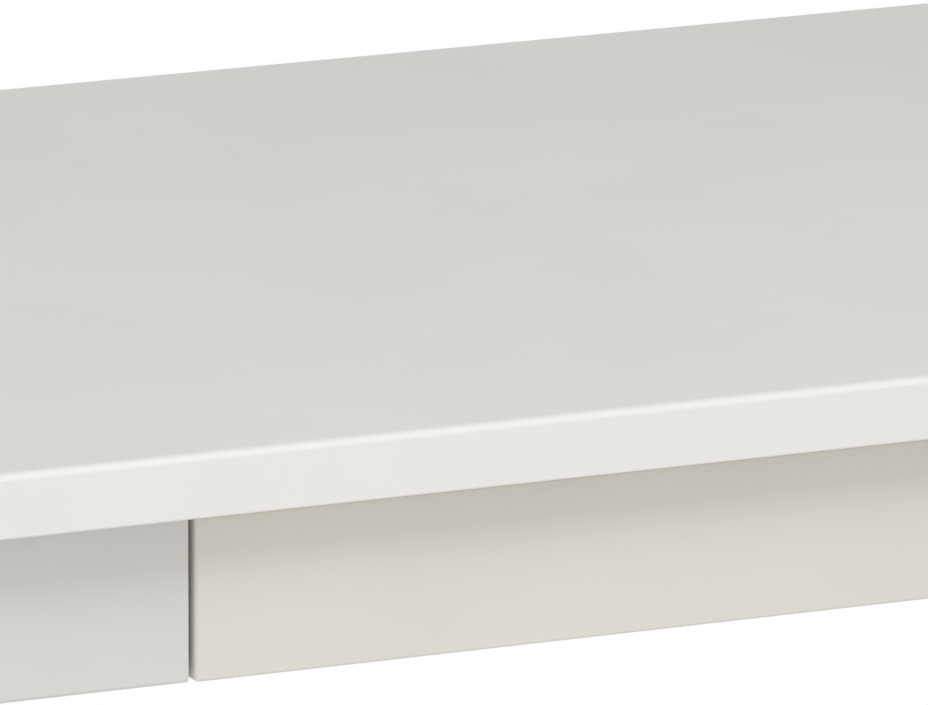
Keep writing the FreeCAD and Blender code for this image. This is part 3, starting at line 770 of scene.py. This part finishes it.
def socket_bolt():
    """Domed head with a hexagon socket."""
    shank = [
        (BOLT_RADIUS, 0), (BOLT_RADIUS, BOLT_TIP - BOLT_LENGTH),
        (BOLT_RADIUS - BOLT_TIP, -BOLT_LENGTH), (0, -BOLT_LENGTH)]
    data = to_mesh("socket_bolt", lathe((dome(BOLT_FLANGE, BOLT_HEAD) + shank)[::-1], sides=36))
    floor_height = BOLT_HEAD - SOCKET_DEPTH
    top = 2 * BOLT_HEAD
    socket = [(0, floor_height), (SOCKET_RADIUS, floor_height), (SOCKET_RADIUS, top), (0, top)]
    return carve(data, to_mesh("socket", lathe(socket, sides=6)))


def hexagon_nut():
    """Nut with chamfered corners, its underside at height 0."""
    flat = NUT_RADIUS - NUT_CHAMFER
    profile = [
        (BOLT_RADIUS, 0), (flat, 0), (NUT_RADIUS, NUT_CHAMFER), (NUT_RADIUS, NUT_HEIGHT - NUT_CHAMFER),
        (flat, NUT_HEIGHT), (BOLT_RADIUS, NUT_HEIGHT)]
    return to_mesh("hexagon_nut", lathe(profile, sides=6))


def threaded_insert():
    """Flange at height 0, barrel up, with thread ridges inside the bore."""
    outer = [
        (INSERT_BORE, 0), (INSERT_RIM - INSERT_CHAMFER, 0), (INSERT_RIM, INSERT_CHAMFER),
        (INSERT_RIM, INSERT_FLANGE), (INSERT_RADIUS, INSERT_FLANGE), (INSERT_RADIUS, INSERT_LENGTH),
        (INSERT_BORE, INSERT_LENGTH)]
    thread = ridges(
        INSERT_CREST, INSERT_BORE, INSERT_LENGTH - INSERT_PITCH / 2, INSERT_PITCH, INSERT_THREADS)
    return to_mesh("insert", lathe(outer + thread, sides=32))


def cam_lock():
    """Disc with its face up at height 0, a rim, a cross and a pointer."""
    face = -CAM_RIM
    profile = [
        (0, -CAM_DEPTH), (CAM_RADIUS, -CAM_DEPTH), (CAM_RADIUS, face), (CAM_RADIUS + face, -HEAD_SINK),
        (CAM_RADIUS + 2 * face, -HEAD_SINK), (CAM_RADIUS + 3 * face, face), (0, face)]
    data = to_mesh("cam_lock", lathe(profile, sides=36))
    for arm in cross_recess(CAM_CROSS_REACH, CAM_CROSS_DEPTH, CAM_CROSS_WIDTH):
        data = carve(data, to_mesh("recess", arm))
    notch = block(Vector((CAM_CROSS_REACH, face, 2 * face)), Vector((CAM_RADIUS + 3 * face, -face, -face)))
    return carve(data, to_mesh("pointer", moved(notch, Matrix.Rotation(math.pi / 4, 4, "Z"))))


def roller_wheel(width, radius):
    """Moulded wheel lying on its side: rounded tread, sunk web and raised hub on both faces."""
    half = width / 2
    rim = radius - RIM_WALL
    hub = ROLLER_BORE + HUB_WALL
    web = half - WEB_SINK
    tread = radius - TREAD_ROUND
    face = [(ROLLER_BORE, half - HUB_CHAMFER), (ROLLER_BORE + HUB_CHAMFER, half), (hub, half),
            (hub + WEB_SLOPE, web), (rim - WEB_SLOPE, web), (rim, half), (tread, half)]
    for step in range(1, TREAD_STEPS + 1):
        turn = math.pi / 2 * step / TREAD_STEPS
        across, back = TREAD_ROUND * math.sin(turn), TREAD_ROUND * (1 - math.cos(turn))
        face.append((tread + across, half - back))
    other = [(r, -h) for r, h in reversed(face)]
    return to_mesh("roller", lathe(face + other, sides=64))


def axle_pin(length):
    """Domed head above height 0, a plain shank, and an end riveted over below."""
    profile = [
        (0, -length), (AXLE_RADIUS - AXLE_POINT, -length), (AXLE_RADIUS, AXLE_POINT - length),
        (AXLE_RADIUS, 0), (AXLE_FLANGE, 0), (AXLE_FLANGE, AXLE_RIM),
        (AXLE_FLANGE - AXLE_EASE, AXLE_RIM + AXLE_EASE), (AXLE_FLANGE - AXLE_CROWN, AXLE_HEAD),
        (0, AXLE_HEAD)]
    return to_mesh("axle", lathe(profile, sides=40))


UP = Matrix.Identity(4)
DOWN = Matrix.Rotation(math.pi, 4, "X")
ALONG_X = Matrix.Rotation(math.pi / 2, 4, "Y")
AGAINST_X = Matrix.Rotation(-math.pi / 2, 4, "Y")
ALONG_Y = Matrix.Rotation(-math.pi / 2, 4, "X")


def copies(name, node, master, spot):
    """One piece of as many masters as the node has solids; spot() gives each its place and turn."""
    parts = []
    for number, (low, high) in enumerate(solid_boxes(node)):
        part = bmesh.new()
        part.from_mesh(master)
        place, turn = spot(low, high, (low + high) / 2)
        twist = Matrix.Rotation(math.radians(SCREW_TWIST * number), 4, "Z")
        parts.append(moved(part, Matrix.Translation(place) @ turn @ twist))
    piece(name, to_mesh(name, merged(parts)), [node])


def outwards(middle):
    return ALONG_X if middle.x > 0 else AGAINST_X


def inwards(middle):
    return AGAINST_X if middle.x > 0 else ALONG_X


def fasteners():
    screw = pan_screw()
    for node in ("worktop_screws", "drawer_runner_screws", "drawer_bottom_screws"):
        copies(f"{node}_heads", node, screw, lambda low, high, middle: (
            (middle.x, middle.y, low.z + PAN_HEIGHT), DOWN))
    copies("drawer_back_screws_heads", "drawer_back_screws", flat_screw(), lambda low, high, middle: (
        (high.x if middle.x > 0 else low.x, middle.y, middle.z), outwards(middle)))
    copies("runner_rivets_set", "runner_rivets", rivet(), lambda low, high, middle: (
        (low.x + RIVET_HEAD if middle.x > 0 else high.x - RIVET_HEAD, middle.y, middle.z),
        inwards(middle)))
    copies("apron_bolts_set", "apron_bolts", socket_bolt(), lambda low, high, middle: (
        (middle.x, high.y - BOLT_HEAD, middle.z), ALONG_Y))
    copies("apron_nuts_set", "apron_nuts", hexagon_nut(), lambda low, high, middle: (
        (middle.x, low.y, middle.z), ALONG_Y))
    copies("leg_insert_nuts_set", "leg_insert_nuts", threaded_insert(), lambda low, high, middle: (
        (middle.x, middle.y, low.z), UP))
    copies("cam_locks_set", "cam_locks", cam_lock(), lambda low, high, middle: (
        (low.x if middle.x > 0 else high.x, middle.y, middle.z), inwards(middle)))


def rollers_and_axles():
    for end in ("front", "rear"):
        for side, sign in (("left", LEFT), ("right", RIGHT)):
            node = f"{end}_roller_{side}"
            low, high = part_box(node)
            wheel = roller_wheel(high.x - low.x, (high.z - low.z) / 2)
            wheel.transform(Matrix.Translation((low + high) / 2) @ ALONG_X)
            piece(f"{node}_wheel", wheel, [node])
            node = f"{end}_axle_{side}"
            low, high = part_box(node)
            middle = (low + high) / 2
            head_out = (end == "rear") == (sign == RIGHT)
            face = high.x - AXLE_HEAD if head_out else low.x + AXLE_HEAD
            turn = ALONG_X if head_out else AGAINST_X
            pin = axle_pin(high.x - low.x - AXLE_HEAD)
            pin.transform(Matrix.Translation((face, middle.y, middle.z)) @ turn)
            piece(f"{node}_pin", pin, [node])


# Drawer

def drawer_front():
    low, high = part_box("drawer_front")
    board = block(low, high)
    round_edges(board, FRONT_END_EDGE, lambda middle, edge: near(middle.y, low.y)
                and not near(edge.verts[0].co.z, edge.verts[1].co.z), steps=10)
    round_edges(board, FRONT_EDGE, lambda middle, edge: not near(middle.y, high.y)
                and (near(middle.z, low.z) or near(middle.z, high.z)), steps=6)
    round_edges(board, BOARD_EDGE, lambda middle, edge: near(middle.y, high.y), steps=3)
    piece("drawer_front_board", to_mesh("drawer_front", board), ["drawer_front"])


def drawer_sides():
    for side, sign in (("left", LEFT), ("right", RIGHT)):
        node = f"drawer_side_{side}"
        low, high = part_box(node)
        board = block(low, high)
        round_edges(board, BOARD_EDGE, lambda middle, edge: near(middle.z, high.z)
                    or near(middle.y, high.y), steps=3)
        data = to_mesh(node, board)
        for hole_node in ("cam_locks", "drawer_back_screws"):
            for hole_low, hole_high in solid_boxes(hole_node):
                middle = (hole_low + hole_high) / 2
                if middle.x * sign < 0:
                    continue
                radius = (hole_high.z - hole_low.z) / 2
                if hole_node == "cam_locks":
                    hole = lathe([(0, -CAM_DEPTH), (radius, -CAM_DEPTH), (radius, MM), (0, MM)])
                    face, turn = (low.x if sign > 0 else high.x), inwards(middle)
                else:
                    cone = [(0, -SCREW_HOLE), (radius / 2, -SCREW_HOLE), (radius, 0)]
                    hole = lathe(cone + [(radius, MM), (0, MM)])
                    face, turn = (high.x if sign > 0 else low.x), outwards(middle)
                hole = moved(hole, Matrix.Translation((face, middle.y, middle.z)) @ turn)
                data = carve(data, to_mesh("hole", hole))
        piece(f"{node}_board", data, [node])


def drawer_back():
    low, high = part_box("drawer_back")
    board = block(low, high)
    round_edges(board, BOARD_EDGE, lambda middle, edge: near(middle.z, high.z), steps=3)
    piece("drawer_back_board", to_mesh("drawer_back", board), ["drawer_back"])


worktop()
bands()
mirrored_pair("side_apron", "sheet", side_apron)
back_apron()
mirrored_pair("runner_bracket", "sheet", runner_bracket)
mirrored_pair("cabinet_runner", "channel", cabinet_runner)
mirrored_pair("drawer_runner", "rail", drawer_runner)
fasteners()
rollers_and_axles()
drawer_front()
drawer_sides()
drawer_back()

# CAD nodes whose shape already is right take their finish
for node, item in frame["nodes"].items():
    item.data.materials.clear()
    item.data.materials.append(MATERIALS[SLOT_OF[node]])


# Camera, light and floor

def camera():
    lens = bpy.data.cameras.new("camera")
    lens.lens = CAMERA_LENS
    lens.sensor_width = SENSOR
    lens.clip_start = CAMERA_NEAR
    lens.clip_end = CAMERA_FAR
    ahead = Vector((math.sin(CAMERA_TURN) * math.cos(CAMERA_DIP),
                    math.cos(CAMERA_TURN) * math.cos(CAMERA_DIP), -math.sin(CAMERA_DIP)))
    level = Vector((math.cos(CAMERA_TURN), -math.sin(CAMERA_TURN), 0))
    up = level.cross(ahead)
    across = level * math.cos(CAMERA_ROLL) + up * math.sin(CAMERA_ROLL)
    above = up * math.cos(CAMERA_ROLL) - level * math.sin(CAMERA_ROLL)
    item = bpy.data.objects.new("camera", lens)
    turned = Matrix((across, above, -ahead)).transposed().to_4x4()
    item.matrix_world = Matrix.Translation(CAMERA_PLACE) @ turned
    bpy.context.scene.collection.objects.link(item)
    bpy.context.scene.camera = item


def area_light(name, size, turn, rise, power, colour):
    """A soft panel facing the object from a turn and a rise, both in degrees; turn 0 is in front."""
    light = bpy.data.lights.new(name, "AREA")
    light.shape = "RECTANGLE"
    light.size, light.size_y = size
    light.energy = power
    light.color = colour
    turn, rise = math.radians(turn), math.radians(rise)
    away = Vector((math.sin(turn) * math.cos(rise), -math.cos(turn) * math.cos(rise), math.sin(rise)))
    item = bpy.data.objects.new(name, light)
    item.location = away * LIGHT_DISTANCE
    item.rotation_euler = away.to_track_quat("Z", "Y").to_euler()
    item.visible_camera = False
    bpy.context.scene.collection.objects.link(item)


def surroundings():
    """An even white room, which the camera sees as plain white."""
    world = bpy.data.worlds.new("room")
    bpy.context.scene.world = world
    world.use_nodes = True
    tree = world.node_tree
    lit = tree.nodes["Background"]
    lit.inputs["Color"].default_value = (*ROOM_COLOUR, 1)
    lit.inputs["Strength"].default_value = ROOM_STRENGTH
    seen = tree.nodes.new("ShaderNodeBackground")
    seen.inputs["Color"].default_value = (1, 1, 1, 1)
    pick = tree.nodes.new("ShaderNodeMixShader")
    rays = tree.nodes.new("ShaderNodeLightPath")
    tree.links.new(rays.outputs["Is Camera Ray"], pick.inputs["Fac"])
    tree.links.new(lit.outputs["Background"], pick.inputs[1])
    tree.links.new(seen.outputs["Background"], pick.inputs[2])
    tree.links.new(pick.outputs["Shader"], tree.nodes["World Output"].inputs["Surface"])


def floor():
    """A pale floor at the foot of the desk's legs, which the camera sees fade to white further out."""
    mesh = bpy.data.meshes.new("floor")
    height = cad_box[1].z - DESK_HEIGHT
    mesh.from_pydata([(x * FLOOR_REACH, y * FLOOR_REACH, height) for x, y in (
        (-1, -1), (1, -1), (1, 1), (-1, 1))], [], [(0, 1, 2, 3)])
    item = bpy.data.objects.new("floor", mesh)
    bpy.context.scene.collection.objects.link(item)
    tree = Tree("floor")
    tree.set(Base_Color=tree.between(tree.noise(0.4, detail=4), FLOOR_TONES), Roughness=0.9)
    flat = tree.node("ShaderNodeMapping", {"Vector": tree.place, "Scale": (1, 1, 0)}).outputs["Vector"]
    away = tree.node("ShaderNodeVectorMath", {0: flat}, operation="LENGTH").outputs["Value"]
    seen = tree.node("ShaderNodeLightPath").outputs["Is Camera Ray"]
    share = tree.maths("MULTIPLY", seen, tree.ramp(away, 0, 1, *FLOOR_FADE))
    white = tree.node("ShaderNodeEmission", {"Color": (1, 1, 1, 1), "Strength": 1.0}).outputs["Emission"]
    pick = tree.node("ShaderNodeMixShader", {"Fac": share, 1: tree.surface.outputs["BSDF"], 2: white})
    tree.tree.links.new(pick.outputs["Shader"], tree.tree.nodes["Material Output"].inputs["Surface"])
    mesh.materials.append(tree.material)


camera()
surroundings()
area_light("key", *KEY)
area_light("low_fill", *LOW_FILL)
floor()
bpy.context.scene.view_settings.view_transform = "Standard"
